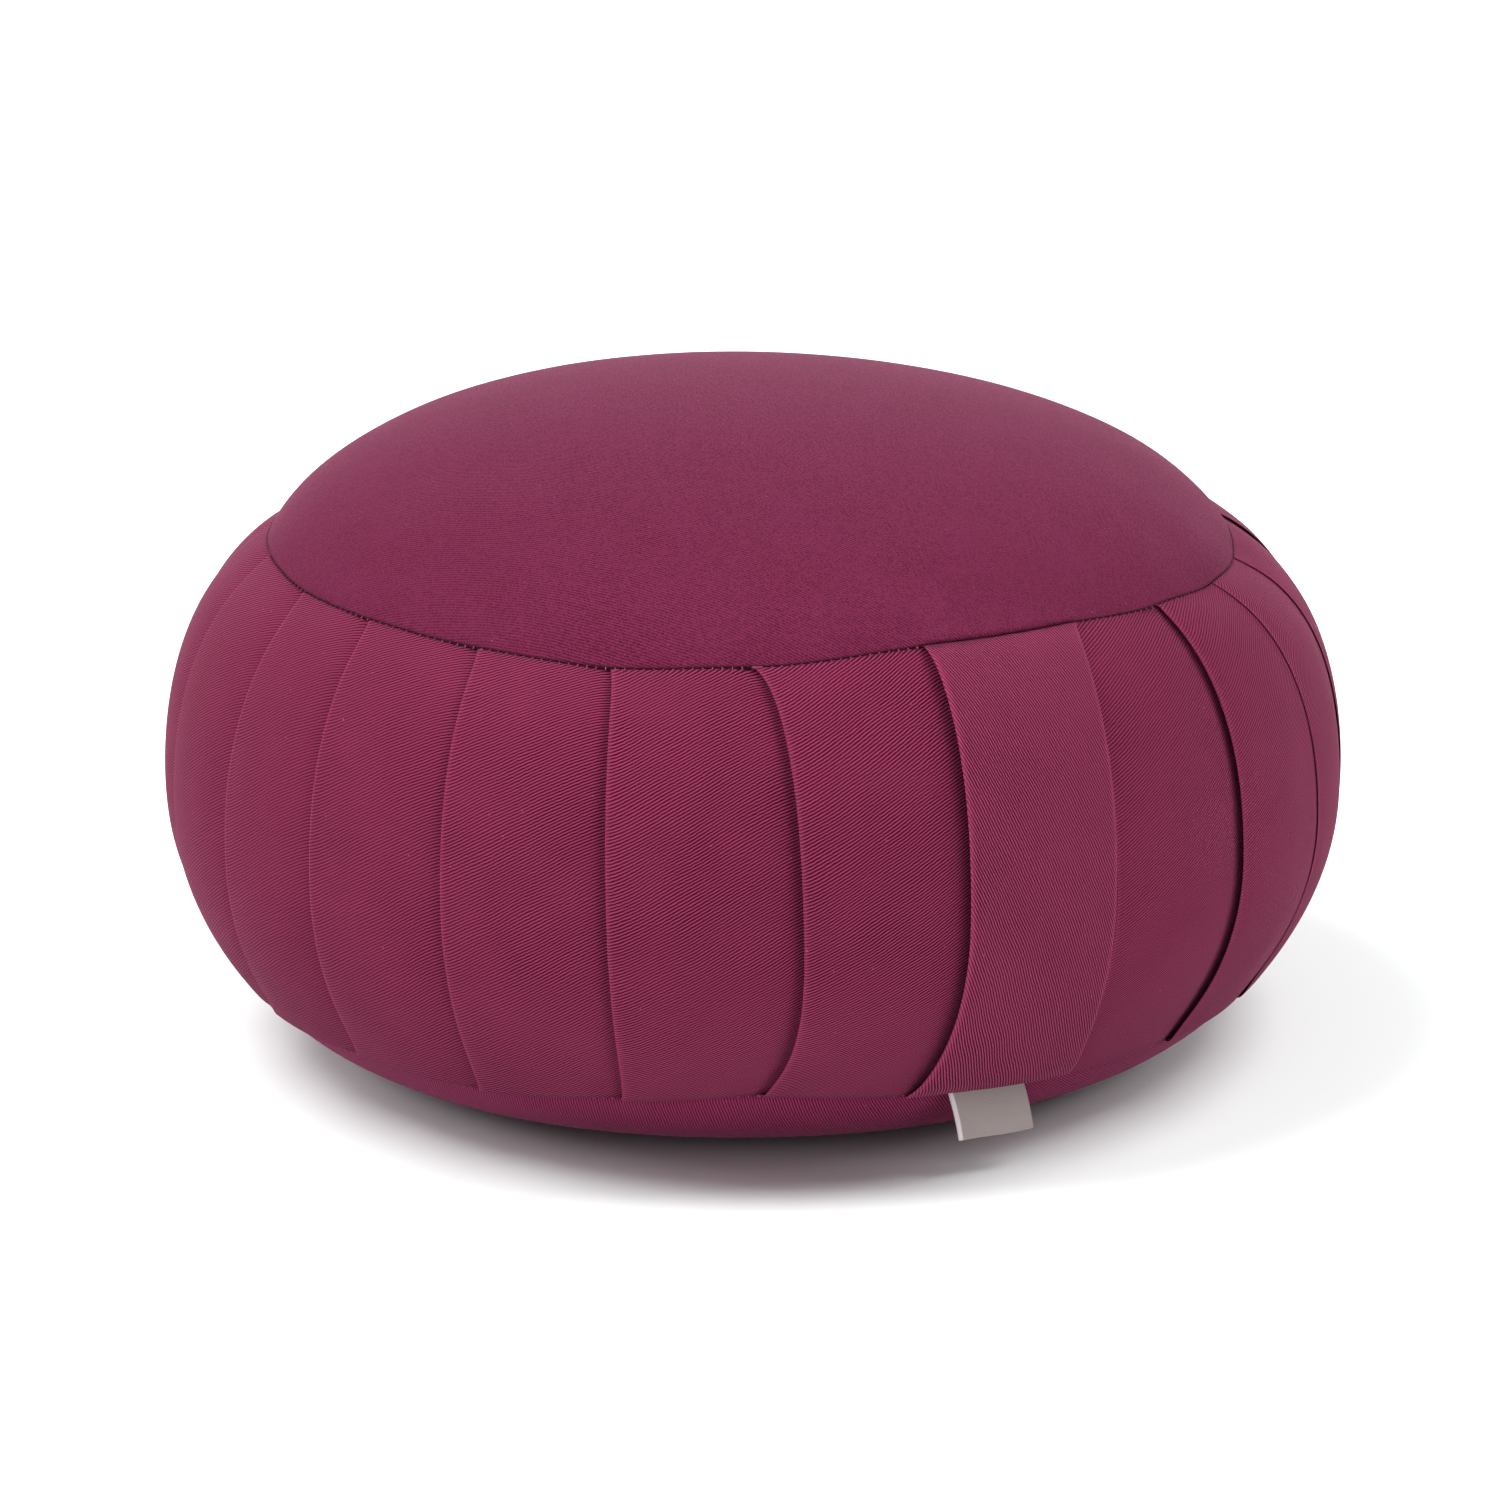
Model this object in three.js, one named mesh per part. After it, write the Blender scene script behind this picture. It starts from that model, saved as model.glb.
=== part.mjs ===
// Zafu meditation cushion: a tightly filled round cushion of cotton twill.
// Two round panels, top and bottom, are joined by one long side strip that is laid in knife
// pleats all the way round. A flat carrying strap lies over the pleats from seam to seam, and
// a small folded label is caught in the bottom seam beside it.
// Millimetres, +Z up. The cushion rests on z = 0 and the origin is at its bottom centre.
// Angles are degrees from the front, which is -Y, and grow towards +X.

import * as THREE from 'three';

// Whole cushion
const CUSHION_HEIGHT = 196;
const WIDEST_RADIUS = 178;
const WIDEST_HEIGHT = 78;
const TOP_SEAM_RADIUS = 145.3;
const TOP_SEAM_HEIGHT = 151;
const BOTTOM_SEAM_RADIUS = 156.5;
const BOTTOM_SEAM_HEIGHT = 23.3;
const FOOT_RADIUS = 100;
const LEAN = -0.0117;
const CROWN_SKEW = -0.017;

// How full each stretch of the outline is: slopes in degrees, lengths along the outline
const CROWN_FLATNESS = 59;
const CROWN_EDGE_SLOPE = 60;
const CROWN_EDGE_LENGTH = 37;
const SHOULDER_SLOPE = 39;
const SHOULDER_TURN = 5.5;
const SHOULDER_FULLNESS = 57;
const HIP_FULLNESS = 28;
const HIP_EDGE_SLOPE = 53;
const HIP_EDGE_LENGTH = 12;
const UNDERSIDE_SLOPE = 35;
const UNDERSIDE_LENGTH = 10.5;
const FOOT_TURN = 41;

// Round panels
const PANEL_THICKNESS = 1.5;
const PANEL_BED_GAP = 0.6;
const PANEL_SEAM_GAP = 0.8;
const PANEL_COLUMNS = 72;
const CROWN_ROWS = 7;
const UNDERSIDE_ROWS = 5;

// Pleated side band
const BAND_HALF_ROWS = 9;
const PLEAT_STEP = 2.5;
const PLEAT_TUCK = 0.05;
const FULL_TURN = 360;

// A row for each knife pleat, round from the back to the back. top, base: where its free edge
// leaves the top seam and meets the bottom seam. bow: how far the edge swings out between
// them, in degrees. gape: how far the edge stands off what dives under it. rise, lift: how
// far the top seam and the bottom seam stand above their mean height there.
const PLEATS = [
  { top: -177.5, base: -177.0, bow: 2.6, gape: 0.6, rise: -0.6, lift: 0.3 },
  { top: -160.8, base: -161.2, bow: 1.9, gape: 1.4, rise: 0.4, lift: 0.0 },
  { top: -144.9, base: -144.2, bow: 3.1, gape: 0.5, rise: 1.2, lift: -0.4 },
  { top: -128.4, base: -129.0, bow: 2.2, gape: 2.2, rise: 0.3, lift: 0.5 },
  { top: -112.6, base: -112.0, bow: 2.8, gape: 0.4, rise: -0.9, lift: 0.8 },
  { top: -96.2, base: -96.8, bow: 3.4, gape: 0.8, rise: 0.2, lift: 0.2 },
  { top: -80.4, base: -81.5, bow: 4.0, gape: 0.5, rise: 1.0, lift: -0.8 },
  { top: -64.6, base: -65.6, bow: 4.6, gape: 0.5, rise: 0.2, lift: -1.5 },
  { top: -49.5, base: -47.9, bow: 2.6, gape: 0.4, rise: 0.5, lift: -1.1 },
  { top: -32.6, base: -30.7, bow: 1.5, gape: 0.5, rise: -0.2, lift: -1.6 },
  { top: -16.1, base: -14.4, bow: 1.6, gape: 1.2, rise: -1.4, lift: 1.1 },
  { top: 0.0, base: 0.2, bow: 4.2, gape: 3.6, rise: 0.3, lift: 3.3 },
  { top: 20.8, base: 17.0, bow: 2.0, gape: 2.4, rise: 3.8, lift: 0.8 },
  { top: 36.6, base: 33.0, bow: 0.4, gape: 0.5, rise: 3.7, lift: -0.6 },
  { top: 54.0, base: 49.8, bow: 1.2, gape: 5.0, rise: 1.0, lift: -1.2 },
  { top: 68.9, base: 66.0, bow: 2.0, gape: 1.0, rise: -1.8, lift: -0.8 },
  { top: 84.0, base: 82.5, bow: 2.4, gape: 1.8, rise: -4.4, lift: -0.3 },
  { top: 100.3, base: 99.0, bow: 2.0, gape: 0.6, rise: -1.5, lift: 0.2 },
  { top: 117.2, base: 117.8, bow: 3.0, gape: 2.8, rise: 0.4, lift: 0.6 },
  { top: 133.1, base: 132.4, bow: 1.8, gape: 0.5, rise: 0.9, lift: 0.1 },
  { top: 149.6, base: 150.3, bow: 2.5, gape: 1.6, rise: 0.0, lift: -0.5 },
  { top: 166.4, base: 166.0, bow: 2.1, gape: 0.5, rise: -0.8, lift: 0.2 },
];

// Columns across one pleat. share: the way from its free edge to the next one. sunk: how much
// of the pleat step the cloth has gone down there. gaped: how much of the next gape it takes.
const ACROSS = [
  { share: 0.0, sunk: 0.25, gaped: 0.0 },
  { share: 0.05, sunk: 0.0, gaped: 0.0 },
  { share: 0.45, sunk: 0.3, gaped: 0.0 },
  { share: 0.85, sunk: 0.75, gaped: 0.35 },
  { share: 0.98, sunk: 1.0, gaped: 1.0 },
];

// Carrying strap: the angles of its two long edges, and its cloth
const STRAP_LEFT = { top: 19.2, base: 15.3, bow: 2.2 };
const STRAP_RIGHT = { top: 39.7, base: 35.1, bow: -2.5 };
const STRAP_THICKNESS = 2;
const STRAP_GAP = 0.6;
const STRAP_END = 0.008;
const STRAP_ROWS = 26;
const STRAP_COLUMNS = 4;

// Flag label
const LABEL_ANGLE = 25.3;
const LABEL_WIDTH = 25;
const LABEL_LENGTH = 15.5;
const LABEL_THICKNESS = 1.2;
const LABEL_PANEL_GAP = 0.5;
const LABEL_BELOW_SEAM = 2.3;
const LABEL_FLARE_AT_SEAM = 42;
const LABEL_FLARE_AT_END = 18;
const LABEL_ROWS = 5;

// Cloth colours
const TOP_CLOTH = { color: 0x8a3359, roughness: 0.9, metalness: 0 };
const BAND_CLOTH = { color: 0x7e2b50, roughness: 0.9, metalness: 0 };
const STRAP_CLOTH = { color: 0x88315a, roughness: 0.9, metalness: 0 };
const BOTTOM_CLOTH = { color: 0x74284c, roughness: 0.9, metalness: 0 };
const LABEL_CLOTH = { color: 0x968a88, roughness: 0.8, metalness: 0 };

const radians = THREE.MathUtils.degToRad;
const mix = THREE.MathUtils.lerp;
const ease = (share) => THREE.MathUtils.smoothstep(share, 0, 1);
const at = (radius, height) => new THREE.Vector2(radius, height);
const downhill = (slope, length) =>
  at(length * Math.cos(radians(slope)), -length * Math.sin(radians(slope)));

// The outline from the middle of the crown down to the foot, as radius and height
const crownTop = at(0, CUSHION_HEIGHT);
const topSeam = at(TOP_SEAM_RADIUS, TOP_SEAM_HEIGHT);
const widest = at(WIDEST_RADIUS, WIDEST_HEIGHT);
const bottomSeam = at(BOTTOM_SEAM_RADIUS, BOTTOM_SEAM_HEIGHT);
const foot = at(FOOT_RADIUS, 0);

const crown = new THREE.CubicBezierCurve(
  crownTop,
  at(CROWN_FLATNESS, CUSHION_HEIGHT),
  topSeam.clone().sub(downhill(CROWN_EDGE_SLOPE, CROWN_EDGE_LENGTH)),
  topSeam,
);
const shoulder = new THREE.CubicBezierCurve(
  topSeam,
  topSeam.clone().add(downhill(SHOULDER_SLOPE, SHOULDER_TURN)),
  at(WIDEST_RADIUS, WIDEST_HEIGHT + SHOULDER_FULLNESS),
  widest,
);
const hip = new THREE.CubicBezierCurve(
  widest,
  at(WIDEST_RADIUS, WIDEST_HEIGHT - HIP_FULLNESS),
  bottomSeam.clone().sub(downhill(180 - HIP_EDGE_SLOPE, HIP_EDGE_LENGTH)),
  bottomSeam,
);
const underside = new THREE.CubicBezierCurve(
  bottomSeam,
  bottomSeam.clone().add(downhill(180 - UNDERSIDE_SLOPE, UNDERSIDE_LENGTH)),
  at(FOOT_RADIUS + FOOT_TURN, 0),
  foot,
);

// How strongly each stretch follows the unevenness of the two seams and the skew of the crown,
// and how far down the pleated band it lies: 0 at the top seam, 1 at the bottom seam
const level = { topPull: 0, bottomPull: 0, skew: 0 };
const onCrown = (t) => ({ ...level, topPull: t ** 4, skew: 1 - t ** 4, drop: 0 });
const onShoulder = (t) => ({ ...level, topPull: 1 - ease(t), drop: t / 2 });
const onHip = (t) => ({ ...level, bottomPull: ease(t), drop: (1 + t) / 2 });
const onUnderside = (t) => ({ ...level, bottomPull: (1 - t) ** 2, drop: 1 });
const middle = { ...level, radius: 0, drop: 1 };

// One row of the cover: a point of the outline, pushed outwards by the offset
function rowAt(curve, follow, t, offset) {
  const point = curve.getPoint(t);
  const along = curve.getTangent(t);
  return {
    radius: Math.max(0, point.x - along.y * offset),
    height: point.y + along.x * offset,
    ...follow(t),
  };
}

function rowsAlong(curve, follow, from, to, count, offset) {
  return Array.from({ length: count + 1 }, (_, i) =>
    rowAt(curve, follow, mix(from, to, i / count), offset));
}

const onBand = (drop, offset) => (drop < 0.5
  ? rowAt(shoulder, onShoulder, drop * 2, offset)
  : rowAt(hip, onHip, drop * 2 - 1, offset));

// The angle of an edge that bows between the seams
const edgeAngle = (edge, drop) =>
  mix(edge.top, edge.base, drop) + edge.bow * 4 * drop * (1 - drop);

const pleatAt = (index) => {
  const turns = Math.floor(index / PLEATS.length);
  const pleat = PLEATS[index - turns * PLEATS.length];
  return { ...pleat, top: pleat.top + turns * FULL_TURN, base: pleat.base + turns * FULL_TURN };
};

// Height of a seam above its mean, eased from one pleat to the next
function seamHeight(angle, place, height) {
  let turned = angle;
  while (turned < PLEATS[0][place]) turned += FULL_TURN;
  while (turned >= PLEATS[0][place] + FULL_TURN) turned -= FULL_TURN;
  const next = PLEATS.findIndex((pleat) => pleat[place] > turned);
  const index = next < 0 ? PLEATS.length - 1 : next - 1;
  const before = pleatAt(index);
  const after = pleatAt(index + 1);
  const share = (turned - before[place]) / (after[place] - before[place]);
  return mix(before[height], after[height], ease(share));
}

// A point of the cover: its row, its angle round the cushion and how deep it is sunk
function coverPoint(row, angle, depth) {
  const radius = Math.max(0, row.radius - depth);
  const x = radius * Math.sin(radians(angle));
  const y = -radius * Math.cos(radians(angle));
  const z = row.height
    + row.topPull * seamHeight(angle, 'top', 'rise')
    + row.bottomPull * seamHeight(angle, 'base', 'lift');
  const lean = LEAN + CROWN_SKEW * row.skew;
  return new THREE.Vector3(x, y, z * (1 + (lean * x) / CUSHION_HEIGHT));
}

// A closed round body: a lathe whose points are then placed one by one
function turned(rows, columns, place) {
  const upwards = [...rows].reverse();
  const profile = upwards.map((row) => at(row.radius, row.height));
  const geometry = new THREE.LatheGeometry(profile, columns);
  const position = geometry.getAttribute('position');
  for (let column = 0; column <= columns; column += 1) {
    upwards.forEach((row, index) => {
      const point = place(row, column % columns);
      position.setXYZ(column * upwards.length + index, point.x, point.y, point.z);
    });
  }
  return geometry;
}

// A flat strip bent into place: across and up run 0 to 1, out is 0 inside and 1 outside
function strip(columns, rows, place) {
  const geometry = new THREE.BoxGeometry(1, 1, 1, columns, 1, rows);
  const position = geometry.getAttribute('position');
  for (let i = 0; i < position.count; i += 1) {
    const across = position.getX(i) + 0.5;
    const out = 0.5 - position.getY(i);
    const up = position.getZ(i) + 0.5;
    const point = place(across, out, up);
    position.setXYZ(i, point.x, point.y, point.z);
  }
  return geometry;
}

function named(name, geometry, cloth) {
  const mesh = new THREE.Mesh(geometry, new THREE.MeshStandardMaterial(cloth));
  mesh.name = name;
  return mesh;
}

const bed = -(PANEL_THICKNESS + PANEL_BED_GAP);

// The filled body. Its side is the pleated band, and both round panels lie in shallow beds.
function pleatedCushion() {
  const rows = [
    ...rowsAlong(crown, onCrown, 0, 1, CROWN_ROWS, bed),
    ...rowsAlong(shoulder, onShoulder, 0, 1, BAND_HALF_ROWS, 0),
    ...rowsAlong(hip, onHip, 0, 1, BAND_HALF_ROWS, 0).slice(1),
    ...rowsAlong(underside, onUnderside, 0, 1, UNDERSIDE_ROWS, bed),
    { ...middle, height: -bed },
  ];
  return turned(rows, PLEATS.length * ACROSS.length, (row, column) => {
    const index = Math.floor(column / ACROSS.length);
    const { share, sunk, gaped } = ACROSS[column % ACROSS.length];
    const pleat = pleatAt(index);
    const next = pleatAt(index + 1);
    const folded = Math.sqrt(Math.sin(Math.PI * row.drop));
    const reach = share + (gaped === 1 ? PLEAT_TUCK * folded : 0);
    const angle = mix(edgeAngle(pleat, row.drop), edgeAngle(next, row.drop), reach);
    return coverPoint(row, angle, folded * (PLEAT_STEP * sunk + next.gape * gaped));
  });
}

// A round panel: its outer face, the turned edge in the seam, and its inner face
function roundPanel(rows) {
  return turned(rows, PANEL_COLUMNS, (row, column) =>
    coverPoint(row, (column * FULL_TURN) / PANEL_COLUMNS, 0));
}

function topPanel() {
  const edge = 1 - PANEL_SEAM_GAP / (3 * CROWN_EDGE_LENGTH);
  const outer = rowsAlong(crown, onCrown, 0, edge, CROWN_ROWS, 0);
  const inner = rowsAlong(crown, onCrown, 0, edge, CROWN_ROWS, -PANEL_THICKNESS);
  return roundPanel([...outer, ...inner.reverse()]);
}

function bottomPanel() {
  const edge = PANEL_SEAM_GAP / (3 * UNDERSIDE_LENGTH);
  const outer = rowsAlong(underside, onUnderside, edge, 1, UNDERSIDE_ROWS, 0);
  const inner = rowsAlong(underside, onUnderside, edge, 1, UNDERSIDE_ROWS, -PANEL_THICKNESS);
  return roundPanel([
    { ...middle, height: PANEL_THICKNESS },
    ...inner.reverse(),
    ...outer,
    { ...middle, height: 0 },
  ]);
}

// The strap follows the outside of the band from seam to seam
function carryStrap() {
  return strip(STRAP_COLUMNS, STRAP_ROWS, (across, out, up) => {
    const drop = mix(1 - STRAP_END, STRAP_END, up);
    const angle = mix(edgeAngle(STRAP_LEFT, drop), edgeAngle(STRAP_RIGHT, drop), across);
    return coverPoint(onBand(drop, STRAP_GAP + out * STRAP_THICKNESS), angle, 0);
  });
}

// The label leaves the bottom seam nearly square to the cloth and then hangs down
function seamLabel() {
  const below = LABEL_BELOW_SEAM / (3 * UNDERSIDE_LENGTH);
  const start = rowAt(underside, onUnderside, below, LABEL_PANEL_GAP);
  const seam = coverPoint(start, LABEL_ANGLE, 0);
  const sideways = new THREE.Vector3(1, 0, 0);
  const outwards = new THREE.Vector3(0, -1, 0);
  const turn = new THREE.Matrix4().makeRotationZ(radians(LABEL_ANGLE));
  sideways.applyMatrix4(turn);
  outwards.applyMatrix4(turn);
  const flareAt = (share) => radians(mix(LABEL_FLARE_AT_SEAM, LABEL_FLARE_AT_END, share));
  const step = LABEL_LENGTH / LABEL_ROWS;
  return strip(1, LABEL_ROWS, (across, out, up) => {
    const row = Math.round((1 - up) * LABEL_ROWS);
    const reach = at(0, 0);
    for (let i = 0; i < row; i += 1) {
      const flare = flareAt((i + 0.5) / LABEL_ROWS);
      reach.add(at(Math.sin(flare) * step, -Math.cos(flare) * step));
    }
    const flare = flareAt(row / LABEL_ROWS);
    reach.add(at(Math.cos(flare), Math.sin(flare)).multiplyScalar(out * LABEL_THICKNESS));
    return seam.clone()
      .addScaledVector(sideways, (across - 0.5) * LABEL_WIDTH)
      .addScaledVector(outwards, reach.x)
      .add(new THREE.Vector3(0, 0, reach.y));
  });
}

const zafu = new THREE.Group();
zafu.add(
  named('pleated_cushion', pleatedCushion(), BAND_CLOTH),
  named('top_panel', topPanel(), TOP_CLOTH),
  named('bottom_panel', bottomPanel(), BOTTOM_CLOTH),
  named('carry_strap', carryStrap(), STRAP_CLOTH),
  named('seam_label', seamLabel(), LABEL_CLOTH),
);

export default zafu;
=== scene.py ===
import math
from bisect import bisect_right

import bmesh
import bpy
from mathutils import Matrix, Quaternion, Vector, noise


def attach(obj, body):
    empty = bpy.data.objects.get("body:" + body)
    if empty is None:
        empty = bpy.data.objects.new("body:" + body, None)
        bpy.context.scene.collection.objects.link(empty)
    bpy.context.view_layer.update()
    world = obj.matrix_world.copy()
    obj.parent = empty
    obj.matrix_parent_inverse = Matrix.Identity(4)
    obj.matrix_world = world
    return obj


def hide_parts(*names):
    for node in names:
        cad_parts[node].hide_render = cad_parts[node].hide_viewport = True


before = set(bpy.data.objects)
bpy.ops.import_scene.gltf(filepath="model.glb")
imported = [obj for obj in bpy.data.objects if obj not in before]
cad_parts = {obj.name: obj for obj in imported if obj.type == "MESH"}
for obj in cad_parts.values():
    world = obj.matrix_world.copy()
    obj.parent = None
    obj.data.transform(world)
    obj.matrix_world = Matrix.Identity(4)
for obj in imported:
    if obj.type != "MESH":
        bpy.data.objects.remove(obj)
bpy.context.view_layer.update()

# The picture is taken from the front and a little above, through a long lens, so the far side
# looks hardly smaller than the near one. The camera hangs over to one side by under a degree.
CAMERA_AIM = Vector((0, 0, 0.0824))
CAMERA_AWAY = 2.136
CAMERA_RISE = math.radians(17)
CAMERA_ROLL = math.radians(-0.8)
PICTURE_SIDE = 1500
AXIS_RIGHT_OF_MIDDLE = 3.36
LENS = 168.6
SENSOR = 36

camera = bpy.data.objects.new("camera", bpy.data.cameras.new("camera"))
bpy.context.scene.collection.objects.link(camera)
bpy.context.scene.camera = camera
camera.data.lens = LENS
camera.data.sensor_width = SENSOR
camera.data.shift_x = -AXIS_RIGHT_OF_MIDDLE / PICTURE_SIDE
to_camera = Vector((0, -math.cos(CAMERA_RISE), math.sin(CAMERA_RISE)))
camera.location = CAMERA_AIM + to_camera * CAMERA_AWAY
camera.rotation_mode = "QUATERNION"
camera.rotation_quaternion = to_camera.to_track_quat("Z", "Y") @ Quaternion((0, 0, 1), CAMERA_ROLL)

# A white studio: a pale floor without an edge in view, soft light from all round, and two high
# soft lights from the sides, so that the shadow is short and lies in front. The low lights are
# flagged: the fills and the rim light fall on the cushion alone, and two only on the floor.
FLOOR_SIDE = 14
FLOOR_DROP = 0.0002
FLOOR_WHITE = (0.83, 0.86, 0.855, 1)
STUDIO_LIGHT = 0.38
LIGHTS = [
    dict(name="light_left", turn=-97, rise=60, strength=0.98, soft=34, falls_on="all"),
    dict(name="light_right", turn=97, rise=60, strength=0.74, soft=34, falls_on="all"),
    dict(name="fill_left", turn=-55, rise=14, strength=0.72, soft=40, falls_on="cushion"),
    dict(name="fill_right", turn=42, rise=14, strength=0.48, soft=40, falls_on="cushion"),
    dict(name="rim_behind", turn=180, rise=16, strength=0.45, soft=30, falls_on="cushion"),
    dict(name="floor_left", turn=-106, rise=25, strength=0.55, soft=30, falls_on="floor"),
    dict(name="floor_right", turn=106, rise=25, strength=0.45, soft=30, falls_on="floor"),
]

world = bpy.data.worlds.new("studio")
bpy.context.scene.world = world
world.use_nodes = True
world.node_tree.nodes["Background"].inputs["Color"].default_value = (1, 1, 1, 1)
world.node_tree.nodes["Background"].inputs["Strength"].default_value = STUDIO_LIGHT
bpy.context.scene.view_settings.view_transform = "Standard"

lit_parts = {
    "cushion": bpy.data.collections.new("lit_cushion"),
    "floor": bpy.data.collections.new("lit_floor"),
}
for lamp in LIGHTS:
    light = bpy.data.lights.new(lamp["name"], "SUN")
    light.energy = lamp["strength"] * math.pi
    light.angle = math.radians(lamp["soft"])
    holder = bpy.data.objects.new(lamp["name"], light)
    turn = math.radians(lamp["turn"])
    rise = math.radians(lamp["rise"])
    level = math.cos(rise)
    aim = Vector((math.sin(turn) * level, -math.cos(turn) * level, math.sin(rise)))
    holder.location = aim * CAMERA_AWAY
    holder.rotation_euler = aim.to_track_quat("Z", "Y").to_euler()
    bpy.context.scene.collection.objects.link(holder)
    if lamp["falls_on"] != "all":
        holder.light_linking.receiver_collection = lit_parts[lamp["falls_on"]]


def finished(shape, name, material):
    """A bmesh becomes a smooth piece of that material, standing at the origin."""
    mesh = bpy.data.meshes.new(name)
    shape.to_mesh(mesh)
    shape.free()
    mesh.shade_smooth()
    mesh.materials.append(material)
    piece = bpy.data.objects.new(name, mesh)
    bpy.context.scene.collection.objects.link(piece)
    return piece


def lit(piece, part="cushion"):
    """Lets the flagged lights of that part reach this piece."""
    lit_parts[part].objects.link(piece)


floor_paint = bpy.data.materials.new("floor_white")
floor_paint.use_nodes = True
floor_paint.node_tree.nodes["Principled BSDF"].inputs["Base Color"].default_value = FLOOR_WHITE
floor_paint.node_tree.nodes["Principled BSDF"].inputs["Roughness"].default_value = 0.8
floor_shape = bmesh.new()
bmesh.ops.create_grid(floor_shape, x_segments=1, y_segments=1, size=FLOOR_SIDE / 2)
bmesh.ops.translate(floor_shape, verts=floor_shape.verts, vec=(0, 0, -FLOOR_DROP))
floor = finished(floor_shape, "studio_floor", floor_paint)
lit(floor, "floor")

# The pleated body is the filled cushion itself. One long strip of cotton twill is laid in 22
# knife pleats, sewn to the two round panels and packed tight with husks, so it swells between
# its two seams and the pleats open towards the middle.
CUSHION_HEIGHT = 0.196
WIDEST_RADIUS = 0.178
WIDEST_HEIGHT = 0.078
TOP_SEAM_RADIUS = 0.1453
TOP_SEAM_HEIGHT = 0.151
BOTTOM_SEAM_RADIUS = 0.1565
BOTTOM_SEAM_HEIGHT = 0.0233
FOOT_RADIUS = 0.100
LEAN = -0.0117
CROWN_SKEW = -0.017

CROWN_FLATNESS = 0.059
CROWN_EDGE_SLOPE = 60
CROWN_EDGE_LENGTH = 0.037
SHOULDER_SLOPE = 39
SHOULDER_TURN = 0.0055
SHOULDER_FULLNESS = 0.057
HIP_FULLNESS = 0.028
HIP_EDGE_SLOPE = 53
HIP_EDGE_LENGTH = 0.012
UNDERSIDE_SLOPE = 35
UNDERSIDE_LENGTH = 0.0105
FOOT_TURN = 0.041

# A row for each knife pleat. top, base: where its free edge leaves the top seam and meets the
# bottom seam, in degrees from the front. bow: how far the edge swings out between them. gape:
# how far it stands off what dives under it. rise, lift: the unevenness of the two seams there.
# ply: how thick its folded layers are pressed, where 1 is the full cloth.
PLEATS = [
    dict(top=-177.5, base=-177.0, bow=2.6, gape=0.6, rise=-0.6, lift=0.3, ply=0.8),
    dict(top=-160.8, base=-161.2, bow=1.9, gape=1.4, rise=0.4, lift=0.0, ply=0.8),
    dict(top=-144.9, base=-144.2, bow=3.1, gape=0.5, rise=1.2, lift=-0.4, ply=0.8),
    dict(top=-128.4, base=-129.0, bow=2.2, gape=2.2, rise=0.3, lift=0.5, ply=0.8),
    dict(top=-112.6, base=-112.0, bow=2.8, gape=0.4, rise=-0.9, lift=0.8, ply=0.8),
    dict(top=-96.2, base=-96.8, bow=3.4, gape=0.8, rise=0.2, lift=0.2, ply=0.8),
    dict(top=-80.4, base=-81.5, bow=4.0, gape=0.6, rise=1.0, lift=-0.8, ply=1.3),
    dict(top=-64.6, base=-65.6, bow=4.6, gape=0.5, rise=0.2, lift=-1.5, ply=1.3),
    dict(top=-49.5, base=-47.9, bow=2.6, gape=0.5, rise=0.5, lift=-1.1, ply=1.3),
    dict(top=-32.6, base=-30.7, bow=1.5, gape=0.5, rise=-0.2, lift=-1.6, ply=1.3),
    dict(top=-16.1, base=-14.4, bow=1.6, gape=1.7, rise=-1.4, lift=1.1, ply=1.1),
    dict(top=0.0, base=0.2, bow=4.2, gape=2.2, rise=0.3, lift=3.3, ply=1.0),
    dict(top=20.8, base=17.0, bow=2.0, gape=1.3, rise=3.8, lift=0.8, ply=0.8),
    dict(top=36.6, base=33.0, bow=0.4, gape=0.3, rise=3.7, lift=-0.6, ply=0.8),
    dict(top=54.0, base=49.8, bow=0.7, gape=1.2, rise=1.0, lift=-1.2, ply=1.0),
    dict(top=68.9, base=66.0, bow=2.0, gape=0.0, rise=-1.8, lift=-0.8, ply=0.3),
    dict(top=84.0, base=82.5, bow=2.4, gape=0.1, rise=-4.4, lift=-0.3, ply=0.35),
    dict(top=100.3, base=99.0, bow=2.0, gape=0.6, rise=-1.5, lift=0.2, ply=0.7),
    dict(top=117.2, base=117.8, bow=3.0, gape=2.8, rise=0.4, lift=0.6, ply=0.8),
    dict(top=133.1, base=132.4, bow=1.8, gape=0.5, rise=0.9, lift=0.1, ply=0.8),
    dict(top=149.6, base=150.3, bow=2.5, gape=1.6, rise=0.0, lift=-0.5, ply=0.8),
    dict(top=166.4, base=166.0, bow=2.1, gape=0.5, rise=-0.8, lift=0.2, ply=0.8),
]
MILLIMETRE = 0.001
FULL_TURN = 360
PLEAT_STEP = 0.55

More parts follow.
